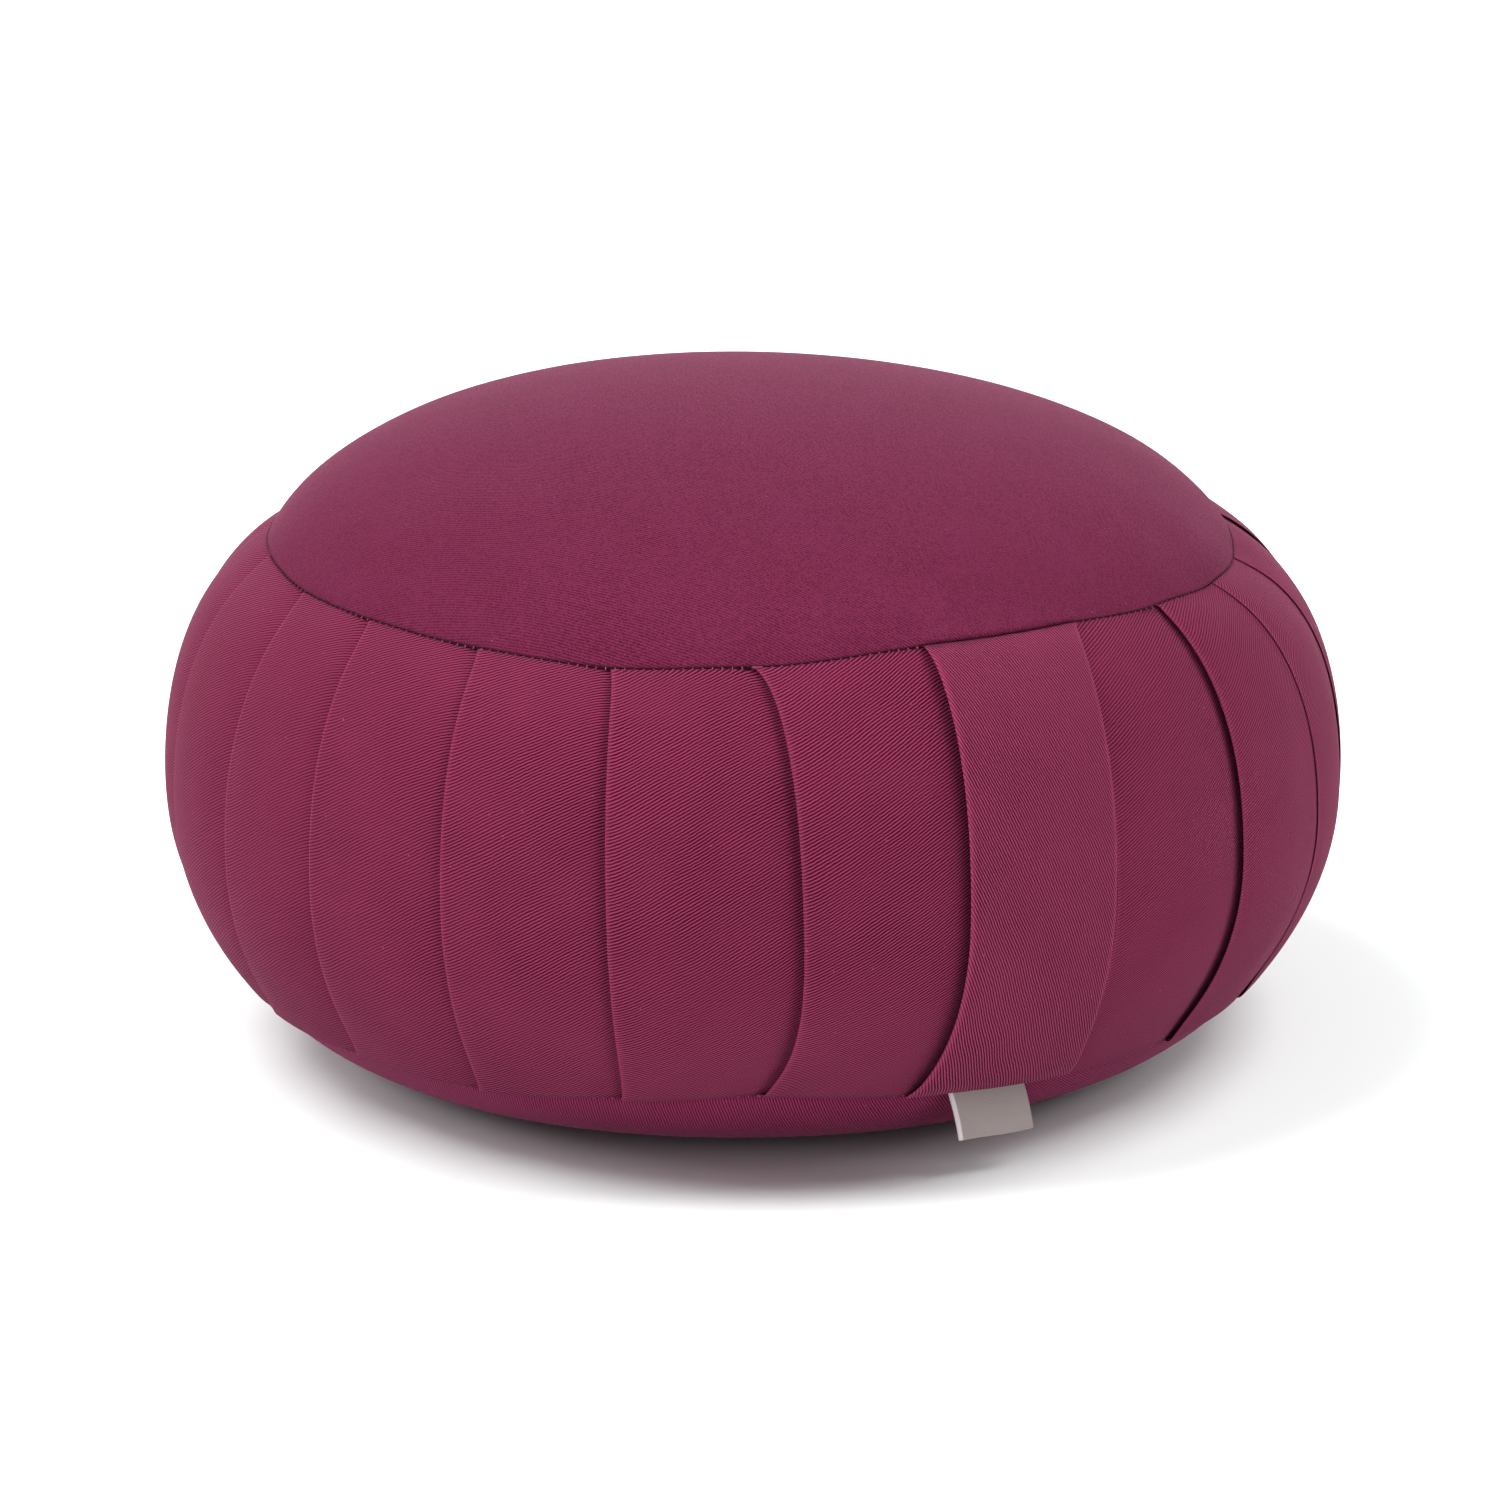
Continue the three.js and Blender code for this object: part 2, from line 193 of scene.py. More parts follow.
# Columns across one pleat, from its folded free edge over its open face, down under the next
# pleat to the inner fold and back out. share: the way to the next free edge. beyond: past that
# place, in millimetres. under: the cloth layers it lies under, in millimetres. sunk: how much of
# the pleat step it goes down. gaped: how much of the next gape it takes. own: of its own gape.
# And the last column: how strongly a highlight is painted on the fold there.
ACROSS = [
    dict(share=0.0, beyond=0.55, under=0.40, sunk=0.12, gaped=0.0, own=-0.1, fold_highlight=0.0),
    dict(share=0.0, beyond=0.0, under=0.24, sunk=0.06, gaped=0.0, own=-0.15, fold_highlight=0.7),
    dict(share=0.0, beyond=0.45, under=0.04, sunk=0.0, gaped=0.0, own=-0.2, fold_highlight=1.0),
    dict(share=0.0, beyond=1.4, under=0.0, sunk=0.0, gaped=0.0, own=-0.2, fold_highlight=0.1),
    dict(share=0.0, beyond=4.0, under=0.0, sunk=0.0, gaped=0.0, own=-0.18, fold_highlight=0.0),
    dict(share=0.16, beyond=0.0, under=0.0, sunk=0.02, gaped=0.0, own=-0.12, fold_highlight=0.0),
    dict(share=0.27, beyond=0.0, under=0.0, sunk=0.04, gaped=0.0, own=-0.05, fold_highlight=0.0),
    dict(share=0.39, beyond=0.0, under=0.0, sunk=0.09, gaped=0.0, own=0.0, fold_highlight=0.0),
    dict(share=0.51, beyond=0.0, under=0.02, sunk=0.16, gaped=0.0, own=0.0, fold_highlight=0.0),
    dict(share=0.63, beyond=0.0, under=0.06, sunk=0.26, gaped=0.0, own=0.0, fold_highlight=0.0),
    dict(share=0.75, beyond=0.0, under=0.17, sunk=0.40, gaped=0.07, own=0.0, fold_highlight=0.0),
    dict(share=0.86, beyond=0.0, under=0.37, sunk=0.58, gaped=0.28, own=0.0, fold_highlight=0.0),
    dict(share=0.94, beyond=0.0, under=0.60, sunk=0.78, gaped=0.58, own=0.0, fold_highlight=0.0),
    dict(share=1.0, beyond=-1.0, under=0.85, sunk=0.96, gaped=0.92, own=0.0, fold_highlight=0.0),
    dict(share=1.0, beyond=1.0, under=0.95, sunk=1.0, gaped=1.0, own=0.0, fold_highlight=0.0),
    dict(share=1.0, beyond=4.5, under=0.95, sunk=1.0, gaped=1.0, own=0.0, fold_highlight=0.0),
    dict(share=1.0, beyond=8.0, under=0.92, sunk=0.9, gaped=0.8, own=0.0, fold_highlight=0.0),
    dict(share=1.0, beyond=8.8, under=0.75, sunk=0.7, gaped=0.6, own=0.0, fold_highlight=0.0),
    dict(share=1.0, beyond=8.0, under=0.55, sunk=0.5, gaped=0.4, own=0.0, fold_highlight=0.0),
    dict(share=1.0, beyond=4.5, under=0.48, sunk=0.32, gaped=0.2, own=0.0, fold_highlight=0.0),
    dict(share=1.0, beyond=1.8, under=0.44, sunk=0.2, gaped=0.05, own=0.0, fold_highlight=0.0),
]

# Distances of the rows from a seam, in millimetres: the turned edge in the seam is below zero.
# Between the seams the rows are one step apart. The last two are half the width of each groove.
SEAM_ROWS = [-2.4, -1.0, -0.25, 0.25, 0.9, 2.2, 4.8, 8.4]
ROW_STEP = 3.6
TOP_SEAM_HALF = 0.15
BOTTOM_SEAM_HALF = 0.26


class Stretch:
    """One stretch of the cushion's outline, as radius and height, measured along the cloth."""

    STEPS = 300

    def __init__(self, *corners):
        self.corners = [Vector(corner) for corner in corners]
        self.reached = [0.0]
        before = self.point(0)
        for step in range(1, self.STEPS + 1):
            here = self.point(step / self.STEPS)
            self.reached.append(self.reached[-1] + (here - before).length)
            before = here
        self.length = self.reached[-1]

    def point(self, t):
        a, b, c, d = self.corners
        s = 1 - t
        return a * s**3 + b * 3 * s * s * t + c * 3 * s * t * t + d * t**3

    def along(self, t):
        a, b, c, d = self.corners
        s = 1 - t
        return ((b - a) * s * s + (c - b) * 2 * s * t + (d - c) * t * t).normalized()

    def at(self, distance):
        """The curve's own place, 0 to 1, at a distance along the cloth."""
        distance = min(max(distance, 0.0), self.length)
        step = min(bisect_right(self.reached, distance) - 1, self.STEPS - 1)
        span = self.reached[step + 1] - self.reached[step]
        return (step + (distance - self.reached[step]) / span) / self.STEPS


def mixed(low, high, share):
    return low + (high - low) * share


def eased(share):
    return share * share * (3 - 2 * share)


def downhill(slope, length):
    slope = math.radians(slope)
    return Vector((math.cos(slope), -math.sin(slope))) * length


top_seam = Vector((TOP_SEAM_RADIUS, TOP_SEAM_HEIGHT))
widest = Vector((WIDEST_RADIUS, WIDEST_HEIGHT))
bottom_seam = Vector((BOTTOM_SEAM_RADIUS, BOTTOM_SEAM_HEIGHT))
crown = Stretch(
    (0, CUSHION_HEIGHT),
    (CROWN_FLATNESS, CUSHION_HEIGHT),
    top_seam - downhill(CROWN_EDGE_SLOPE, CROWN_EDGE_LENGTH),
    top_seam,
)
shoulder = Stretch(
    top_seam,
    top_seam + downhill(SHOULDER_SLOPE, SHOULDER_TURN),
    widest + Vector((0, SHOULDER_FULLNESS)),
    widest,
)
hip = Stretch(
    widest,
    widest - Vector((0, HIP_FULLNESS)),
    bottom_seam - downhill(180 - HIP_EDGE_SLOPE, HIP_EDGE_LENGTH),
    bottom_seam,
)
underside = Stretch(
    bottom_seam,
    bottom_seam + downhill(180 - UNDERSIDE_SLOPE, UNDERSIDE_LENGTH),
    (FOOT_RADIUS + FOOT_TURN, 0),
    (FOOT_RADIUS, 0),
)
BAND_LENGTH = shoulder.length + hip.length


def outward(along):
    """Square to the outline, away from the filling, where along runs downwards."""
    return Vector((-along.y, along.x))


into_top_seam = -(outward(crown.along(1)) + outward(shoulder.along(0))).normalized()
into_bottom_seam = -(outward(hip.along(1)) + outward(underside.along(0))).normalized()


def pleat_at(index):
    turns = index // len(PLEATS)
    pleat = dict(PLEATS[index % len(PLEATS)])
    pleat["top"] += turns * FULL_TURN
    pleat["base"] += turns * FULL_TURN
    return pleat


def edge_angle(edge, drop):
    return mixed(edge["top"], edge["base"], drop) + edge["bow"] * 4 * drop * (1 - drop)


def seam_height(angle, place, height):
    """Height of a seam above its mean, in metres, eased from one pleat to the next."""
    angle = (angle - PLEATS[0][place]) % FULL_TURN + PLEATS[0][place]
    index = sum(1 for pleat in PLEATS if pleat[place] <= angle) - 1
    before = pleat_at(index)
    after = pleat_at(index + 1)
    share = (angle - before[place]) / (after[place] - before[place])
    return mixed(before[height], after[height], eased(share)) * MILLIMETRE


def cover_point(spot, angle):
    """A point of the cover, from its spot on the outline and its angle round the cushion."""
    turn = math.radians(angle)
    radius = max(0.0, spot["point"].x)
    x = radius * math.sin(turn)
    height = spot["point"].y
    if spot["top_pull"] > 0:
        height += spot["top_pull"] * seam_height(angle, "top", "rise")
    if spot["bottom_pull"] > 0:
        height += spot["bottom_pull"] * seam_height(angle, "base", "lift")
    lean = LEAN + CROWN_SKEW * spot["skew"]
    return Vector((x, -radius * math.cos(turn), height * (1 + lean * x / CUSHION_HEIGHT)))


def spot_of(point, out, drop=0.0, top_pull=0.0, bottom_pull=0.0, skew=0.0):
    return dict(
        point=point, out=out, drop=drop, top_pull=top_pull, bottom_pull=bottom_pull, skew=skew
    )


def band_spot(distance):
    """The spot on the band at a distance down the cloth from the top seam."""
    if distance < 0:
        side = shoulder.along(0) * TOP_SEAM_HALF * MILLIMETRE
        inwards = top_seam - into_top_seam * distance + side
        return spot_of(inwards, outward(shoulder.along(0)), top_pull=1)
    if distance > BAND_LENGTH:
        past = distance - BAND_LENGTH
        side = hip.along(1) * BOTTOM_SEAM_HALF * MILLIMETRE
        inwards = bottom_seam + into_bottom_seam * past - side
        return spot_of(inwards, outward(hip.along(1)), drop=1, bottom_pull=1)
    if distance < shoulder.length:
        t = shoulder.at(distance)
        return spot_of(shoulder.point(t), outward(shoulder.along(t)), t / 2, top_pull=1 - eased(t))
    t = hip.at(distance - shoulder.length)
    return spot_of(hip.point(t), outward(hip.along(t)), (1 + t) / 2, bottom_pull=eased(t))


def pushed(spot, height):
    """The spot moved away from the filling by a height in metres."""
    return dict(spot, point=spot["point"] + spot["out"] * height)


def folded(drop):
    """How far the pleats have opened, from 0 at the seams to 1 half way down."""
    return math.sqrt(max(0.0, math.sin(math.pi * drop)))


def rows_down(ends, row_step):
    """Distances of rows from the top seam, in metres, from those near a seam and their step."""
    near = [row * MILLIMETRE for row in ends]
    first = near[-1]
    last = BAND_LENGTH - near[-1]
    count = round((last - first) / (row_step * MILLIMETRE))
    middle = [mixed(first, last, step / count) for step in range(1, count)]
    return near + middle + [BAND_LENGTH - row for row in reversed(near)]


# Just above the bottom seam the band's edge is rolled outwards over the groove
LIP = 0.7 * MILLIMETRE
LIP_REACH = 1.9 * MILLIMETRE


def rolled(distance, reach):
    """The height of a rolled edge at a distance from its seam, 1 at the reach."""
    share = max(0.0, distance) / reach
    return share * math.exp(1 - share)


# Soft upright creases, where the filling lies unevenly: faint in front, deeper on the flanks
CREASE_DEPTH = 0.55
CREASE_LENGTH = 0.05
CREASE_IN_FRONT = 0.25
CREASE_FULL_AT = 80
CREASE_SPREAD = 0.83


def creased(column, distance, angle):
    """How far a soft crease lifts the cloth at a column of the band, in millimetres."""
    half_turn = FULL_TURN / 2
    flank = min(1.0, abs((angle + half_turn) % FULL_TURN - half_turn) / CREASE_FULL_AT)
    lift = noise.noise(Vector((column * CREASE_SPREAD, distance / CREASE_LENGTH, 5.0)))
    return CREASE_DEPTH * mixed(CREASE_IN_FRONT, 1.0, eased(flank)) * lift


# Beside a fold the twill's lines bend level, where the cloth was drawn along it
FOLD_SHEAR = 1.2
FOLD_SHEAR_WIDE = 2.2


def sheared(from_edge, to_next):
    """How far the cloth is drawn along a fold, in metres, from the distances to both folds."""
    before = math.exp(-max(0.0, from_edge) / (FOLD_SHEAR_WIDE * MILLIMETRE))
    after = math.exp(-max(0.0, to_next) / (FOLD_SHEAR_WIDE * MILLIMETRE))
    return FOLD_SHEAR * MILLIMETRE * (after - before)


def band_point(column, distance):
    """The place of a column of the pleated band, and its place on the flat cloth."""
    index = column // len(ACROSS)
    fold = ACROSS[column % len(ACROSS)]
    spot = band_spot(distance)
    drop = spot["drop"]
    pleat = pleat_at(index)
    following = pleat_at(index + 1)
    open_here = folded(drop)
    left = edge_angle(pleat, drop)
    right = edge_angle(following, drop)
    radius = spot["point"].x
    angle = mixed(left, right, fold["share"])
    angle += math.degrees(fold["beyond"] * MILLIMETRE / radius)
    ply = following["ply"] if fold["share"] else pleat["ply"]
    depth = ply * fold["under"] + open_here * (
        ply * PLEAT_STEP * fold["sunk"]
        + following["gape"] * fold["gaped"]
        + pleat["gape"] * fold["own"]
    )
    depth -= open_here * (1 - fold["gaped"]) * creased(column, distance, angle)
    depth -= (1 - fold["gaped"]) * LIP / MILLIMETRE * rolled(BAND_LENGTH - distance, LIP_REACH)
    middle = (left + right) / 2
    across = math.radians(angle - middle) * radius
    drawn = sheared(math.radians(angle - left) * radius, math.radians(right - angle) * radius)
    return cover_point(pushed(spot, -depth * MILLIMETRE), angle), (across, drawn - distance)


class Yarn:
    """A value on its way through a material. Arithmetic on it adds the Math nodes."""

    def __init__(self, tree, socket=None):
        self.tree = tree
        self.socket = socket

    def node(self, kind, settings=None, sockets=None, out=0):
        """Any other node: its settings first, then the values or links of its sockets."""
        made = self.tree.nodes.new(kind)
        for name, value in (settings or {}).items():
            setattr(made, name, value)
        for name, value in (sockets or {}).items():
            if isinstance(value, Yarn):
                self.tree.links.new(value.socket, made.inputs[name])
            else:
                made.inputs[name].default_value = value
        return Yarn(self.tree, made.outputs[out])

    def maths(self, operation, *values):
        return self.node("ShaderNodeMath", {"operation": operation}, dict(enumerate(values)))

    def __add__(self, other):
        return self.maths("ADD", self, other)

    def __sub__(self, other):
        return self.maths("SUBTRACT", self, other)

    def __rsub__(self, other):
        return self.maths("SUBTRACT", other, self)

    def __mul__(self, other):
        return self.maths("MULTIPLY", self, other)

    __radd__ = __add__
    __rmul__ = __mul__

    def kept(self):
        """This value, held from 0 to 1."""
        return self.maths("MINIMUM", self.maths("MAXIMUM", self, 0.0), 1.0)

    def wave(self, height=0.5):
        """A smooth ridge for each whole number, from 0 in the groove to 1 on the crest."""
        return (0.5 + height * self.maths("COSINE", self * math.tau)).kept()

    def cloud(self, scale, detail=2.0):
        return self.node(
            "ShaderNodeTexNoise", None, {"Vector": self, "Scale": scale, "Detail": detail}
        )

    def between(self, low, high):
        """A colour from low to high, where this value runs from 0 to 1."""
        return self.node("ShaderNodeMix", {"data_type": "RGBA"}, {0: self, 6: low, 7: high}, 2)

    def into(self, shader, socket):
        self.tree.links.new(self.socket, shader.inputs[socket])


def dye(red, green, blue):
    """A cloth colour as seen on a screen, 0 to 255, made linear."""
    shares = [value / 255 for value in (red, green, blue)]
    return [((share + 0.055) / 1.055) ** 2.4 for share in shares] + [1]


# The twill's raised lines are 0.84 mm apart. Each crosses four warp yarns before the next one
# begins, and it is those yarns that make its small steps.
LINE_PITCH = 0.84 * MILLIMETRE
LINE_HEIGHT = 1.1
YARNS_PER_LINE = 4
YARN_SHARE = 0.28
MEAN_RELIEF = 0.42
TWILL_RELIEF = 0.14 * MILLIMETRE
SLUB_RELIEF = 0.2

# The yarns sway a little and have slubs, and patches of the nap are worn pale
SWAY_SCALE = 70
LINE_SWAY = 1.3
YARN_SWAY = 0.4
SLUB_SCALE = 800
PATCH_SCALE = 40

# A highlight is painted pale along the folds, and shade is painted dark where the cloth dips into
# a seam's groove
FOLD_HIGHLIGHT_SHARE = 0.38
SHADED_SHARE = 0.8
PAINTED_SHADE_COLOUR = (26, 0, 10)
TOP_GROOVE = 0.5 * MILLIMETRE
BOTTOM_GROOVE = 1.5 * MILLIMETRE

# A few specks of pale lint sit on the cloth
LINT_SCALE = 900
LINT_FROM = 0.85
LINT_EDGE = 14
LINT_SHARE = 0.16
LINT_DYE = (205, 150, 175)

# The lines are clearest in front. Towards the flanks the nap has been rubbed up over them.
FLANK_FROM = 0.05
FLANK_WIDE = 0.08
FLANK_FADE = 0.45


def twill(name, crest, groove, bloom, slope, uneven=0.3, slubs=SLUB_SCALE):
    """Cotton twill whose lines climb to the right at the slope, in degrees, on the cloth."""
    material = bpy.data.materials.new(name)
    material.use_nodes = True
    tree = material.node_tree
    finish = tree.nodes["Principled BSDF"]
    thread = Yarn(tree)
    place = thread.node("ShaderNodeUVMap", {"uv_map": "cloth"})
    across = thread.node("ShaderNodeSeparateXYZ", None, {0: place}, 0)
    down = thread.node("ShaderNodeSeparateXYZ", None, {0: place}, 1)
    turn = math.radians(slope)
    sway = place.cloud(SWAY_SCALE, 0)
    slub = place.cloud(slubs, 0)
    patch = place.cloud(PATCH_SCALE, 3)
    lines = (down * math.cos(turn) - across * math.sin(turn)) * (1 / LINE_PITCH)
    lines = lines + LINE_SWAY * sway + uneven * slub
    yarn_pitch = LINE_PITCH / abs(math.sin(turn)) / YARNS_PER_LINE
    yarns = (across * (1 / yarn_pitch) + YARN_SWAY * sway).wave()
    relief = lines.wave(LINE_HEIGHT) * (1 - YARN_SHARE + YARN_SHARE * yarns)
    body = thread.node("ShaderNodeTexCoord", None, None, 3)
    sideways = thread.node("ShaderNodeSeparateXYZ", None, {0: body}, 0)
    flank = (sideways.maths("ABSOLUTE", sideways) - FLANK_FROM) * (1 / FLANK_WIDE)
    clear = 1 - FLANK_FADE * flank.kept()
    colour = (MEAN_RELIEF + (relief - MEAN_RELIEF) * clear).between(groove, crest)
    worn = (patch * 0.5 - 0.16) * (0.35 + 0.5 * slub)
    worn = worn.maths("MAXIMUM", worn, 0.0)
    colour = worn.between(colour, bloom)
    lint = ((place.cloud(LINT_SCALE, 0) - LINT_FROM) * LINT_EDGE).kept()
    colour = (lint * LINT_SHARE).between(colour, dye(*LINT_DYE))
    # A highlight painted pale along the fold edges, weighted by a mesh attribute
    highlight = thread.node("ShaderNodeAttribute", {"attribute_name": "fold_highlight"}, None, 2)
    colour = (highlight * FOLD_HIGHLIGHT_SHARE).between(colour, crest)
    # Shade painted dark into the seam grooves and the gap above the strap, weighted by a mesh
    # attribute
    shade = thread.node("ShaderNodeAttribute", {"attribute_name": "shaded"}, None, 2)
    colour = (shade * SHADED_SHARE).between(colour, dye(*PAINTED_SHADE_COLOUR))
    colour.into(finish, "Base Color")
    height = relief + SLUB_RELIEF * uneven * slub
    bump = thread.node(
        "ShaderNodeBump", None, {"Strength": 1.0, "Distance": TWILL_RELIEF, "Height": height}
    )
    bump.into(finish, "Normal")
    finish.inputs["Roughness"].default_value = 0.92
    finish.inputs["Specular IOR Level"].default_value = 0.05
    finish.inputs["Sheen Weight"].default_value = 0.13
    finish.inputs["Sheen Roughness"].default_value = 0.32
    finish.inputs["Sheen Tint"].default_value = dye(255, 165, 205)
    return material


BAND_SLOPE = 29.5
band_cloth = twill("band_twill", dye(131, 45, 78), dye(36, 0, 12), dye(124, 44, 74), BAND_SLOPE)


def in_groove(distance, reach):
    """How far the cloth is in the groove of a seam, 0 to 1, at a distance from it."""
    return max(0.0, 1 - max(0.0, distance) / reach)


def on_cloth(shape, flat):
    """Gives each corner of the mesh its place on the flat cloth, in metres."""
    layer = shape.loops.layers.uv.new("cloth")
    for face in shape.faces:
        for corner in face.loops:
            corner[layer].uv = flat(corner.vert, face)


def smoother(piece):
    finer = piece.modifiers.new("finer", "SUBSURF")
    finer.levels = 1
    finer.render_levels = 1


rows = rows_down(SEAM_ROWS, ROW_STEP)
columns = len(PLEATS) * len(ACROSS)
band_shape = bmesh.new()
bmesh.ops.create_grid(band_shape, x_segments=columns, y_segments=len(rows) - 1, size=0.5)
fold_highlight = band_shape.verts.layers.float.new("fold_highlight")
shaded = band_shape.verts.layers.float.new("shaded")
column_of = {}
flat_place = {}
from_seam = {}
for vertex in band_shape.verts:
    column = round((vertex.co.x + 0.5) * columns)
    distance = rows[round((0.5 - vertex.co.y) * (len(rows) - 1))]
    column_of[vertex] = column
    vertex.co, flat_place[vertex] = band_point(column, distance)
    from_seam[vertex] = min(distance, BAND_LENGTH - distance)
    # How strongly a highlight is painted on this fold column
    vertex[fold_highlight] = ACROSS[column % len(ACROSS)]["fold_highlight"]
    # Shade is painted where the band dips into the top and the bottom seam's grooves
    near_top = in_groove(distance, TOP_GROOVE)
    vertex[shaded] = near_top + in_groove(BAND_LENGTH - distance, BOTTOM_GROOVE)

# The length of flat cloth that one pleat takes up with its folds
PLEAT_CLOTH = 0.061


def band_flat(vertex, face):
    """Cloth place of a corner. A fold's free edge belongs to the pleats on both its sides."""
    across, down = flat_place[vertex]
    home = min(column_of[corner.vert] // len(ACROSS) for corner in face.loops)
    if column_of[vertex] // len(ACROSS) != home:
        across += PLEAT_CLOTH
    return across + home * PLEAT_CLOTH, down


on_cloth(band_shape, band_flat)
bmesh.ops.remove_doubles(band_shape, verts=band_shape.verts, dist=1e-7)
bmesh.ops.recalc_face_normals(band_shape, faces=band_shape.faces)

# The filling is let press on the band as cloth. Its two seams and the layers tucked inside its
# pleats are held, and the open face of each pleat swells between them. FREE_COLUMNS says how
# free each column across that face is.
FILLING_PRESSURE = 400
FILLING_FRAMES = 20
FILLING_REACH = 1.2 * MILLIMETRE
HELD_NEAR_SEAM = 9 * MILLIMETRE
FREE_COLUMNS = {3: 0.35, 4: 0.7, 5: 1, 6: 1, 7: 1, 8: 1, 9: 0.9, 10: 0.6, 11: 0.25}


def band_hold(vertex):
    """How firmly a corner of the band is held, from 0, free, to 1."""
    near = min(1.0, max(0.0, from_seam[vertex] / HELD_NEAR_SEAM))
    return 1 - FREE_COLUMNS.get(column_of[vertex] % len(ACROSS), 0.0) * eased(near)


def filled(piece, holds):
    """Swells a piece by a cloth simulation, each point by no more than the filling reaches."""
    group = piece.vertex_groups.new(name="held")
    for index, hold in enumerate(holds):
        group.add([index], hold, "REPLACE")
    cloth = piece.modifiers.new("filling", "CLOTH")
    cloth.settings.vertex_group_mass = group.name
    cloth.settings.use_pressure = True
    cloth.settings.uniform_pressure_force = FILLING_PRESSURE
    cloth.settings.effector_weights.gravity = 0
    cloth.collision_settings.use_collision = False
    for step in range(1, FILLING_FRAMES + 1):
        bpy.context.scene.frame_set(step)
    view = bpy.context.evaluated_depsgraph_get()
    swollen = [vertex.co.copy() for vertex in piece.evaluated_get(view).data.vertices]
    piece.modifiers.remove(cloth)
    bpy.context.scene.frame_set(1)
    for vertex, place, hold in zip(piece.data.vertices, swollen, holds):
        move = place - vertex.co
        reach = FILLING_REACH * (1 - hold)
        if move.length > reach:
            move = move * (reach / move.length)
        vertex.co += move


band_holds = [band_hold(vertex) for vertex in band_shape.verts]
band = finished(band_shape, "pleated_band", band_cloth)
filled(band, band_holds)
smoother(band)
lit(band)
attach(band, "root")
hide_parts("pleated_cushion")

# The round top panel is one disc of the same twill, cut whole and domed by the filling. Its
# raw edge is turned in, and the stitches of the seam pull its rim into small puckers. Its yarns
# lie less evenly than the band's, so it looks grainy from above.
TOP_STITCHES = 326
TOP_SLOPE = -27
TOP_UNEVEN = 1.05
TOP_SLUB_SCALE = 1700
PUCKER = 0.17
PUCKER_REACH = 2.2
OVERHANG = 1.3 * MILLIMETRE
OVERHANG_FROM = 19
OVERHANG_TO = 40
OVERHANG_REACH = 1.5 * MILLIMETRE
OVERHANG_RAGGED = 0.45
RIM_WIDTH = 0.007
NARROW_RING = 0.003
WIDE_RING = 0.0065
RING_GROWTH = 0.12
MIDDLE_RING = 0.005
FEWEST_COLUMNS = 12

# The same twill as the band's, painted darker: painted shade that holds back the stronger light
# falling on the top
top_cloth = twill(
    "top_twill",
    dye(103, 33, 62),
    dye(69, 15, 37),
    dye(104, 40, 70),
    TOP_SLOPE,
    TOP_UNEVEN,
    TOP_SLUB_SCALE,
)


def crown_spot(distance):
    """The spot on the top panel at a distance up the cloth from the top seam."""
    if distance < 0:
        side = crown.along(1) * TOP_SEAM_HALF * MILLIMETRE
        inwards = top_seam - into_top_seam * distance - side
        return spot_of(inwards, outward(crown.along(1)), top_pull=1)
    t = crown.at(crown.length - distance)
    return spot_of(crown.point(t), outward(crown.along(t)), top_pull=t**4, skew=1 - t**4)


def underside_spot(distance):
    """The spot on the bottom panel at a distance along the cloth from the bottom seam."""
    if distance < 0:
        side = underside.along(0) * BOTTOM_SEAM_HALF * MILLIMETRE
        inwards = bottom_seam - into_bottom_seam * distance + side
        return spot_of(inwards, outward(underside.along(0)), drop=1, bottom_pull=1)
    if distance > underside.length:
        inwards = Vector((FOOT_RADIUS - (distance - underside.length), 0))
        return spot_of(inwards, Vector((0, -1)), drop=1)
    t = underside.at(distance)
    return spot_of(underside.point(t), outward(underside.along(t)), 1, bottom_pull=(1 - t) ** 2)


def round_panel(place, reach, stitches, groove):
    """A disc of cloth as rings that are bridged from its rim to its middle."""
    spots = [row * MILLIMETRE for row in SEAM_ROWS]
    while spots[-1] < reach - 2 * MIDDLE_RING:
        spots.append(spots[-1] + min(WIDE_RING, NARROW_RING + spots[-1] * RING_GROWTH))
    shape = bmesh.new()
    dark = shape.verts.layers.float.new("shaded")
    flat = {}
    before = None
    for distance in spots:
        count = 2 * stitches
        if distance > RIM_WIDTH:
            doublings = int(math.log2((reach - distance) / MIDDLE_RING))
            count = min(stitches, FEWEST_COLUMNS * 2**doublings)
        ring = bmesh.ops.create_circle(shape, segments=count, radius=1)["verts"]
        for vertex in ring:
            angle = math.degrees(math.atan2(vertex.co.x, -vertex.co.y))
            vertex.co, flat[vertex] = place(distance, angle)
            # Shade is painted in the seam's groove, fading out over the groove's width
            vertex[dark] = in_groove(distance, groove)
        edges = list(dict.fromkeys(edge for vertex in ring for edge in vertex.link_edges))
        if before:
            bmesh.ops.bridge_loops(shape, edges=before + edges)
        before = edges
    bmesh.ops.edgenet_fill(shape, edges=before)
    return shape, flat


def puckered(angle, stitches, distance):
    """How far the nearest stitch draws the cloth down, in metres, beside a seam."""
    stitch = angle * stitches / FULL_TURN
    uneven = 0.7 + 0.6 * noise.noise(Vector((stitch * 0.31, 0.0, stitches)))
    pull = 0.5 + 0.5 * math.cos(math.tau * stitch)
    near = math.exp(-max(0.0, distance) / (PUCKER_REACH * MILLIMETRE))
    return PUCKER * MILLIMETRE * pull * near * uneven


def overhung(angle, distance):
    """How far the top panel's rim hangs out over the thick end of the strap, in metres."""
    inside = min(angle % FULL_TURN - OVERHANG_FROM, OVERHANG_TO - angle % FULL_TURN)
    near = rolled(distance, OVERHANG_REACH)
    ragged = 1 + OVERHANG_RAGGED * noise.noise(Vector((angle * 0.9, 2.0, 9.0)))
    return OVERHANG * min(1.0, max(0.0, inside)) * near * ragged


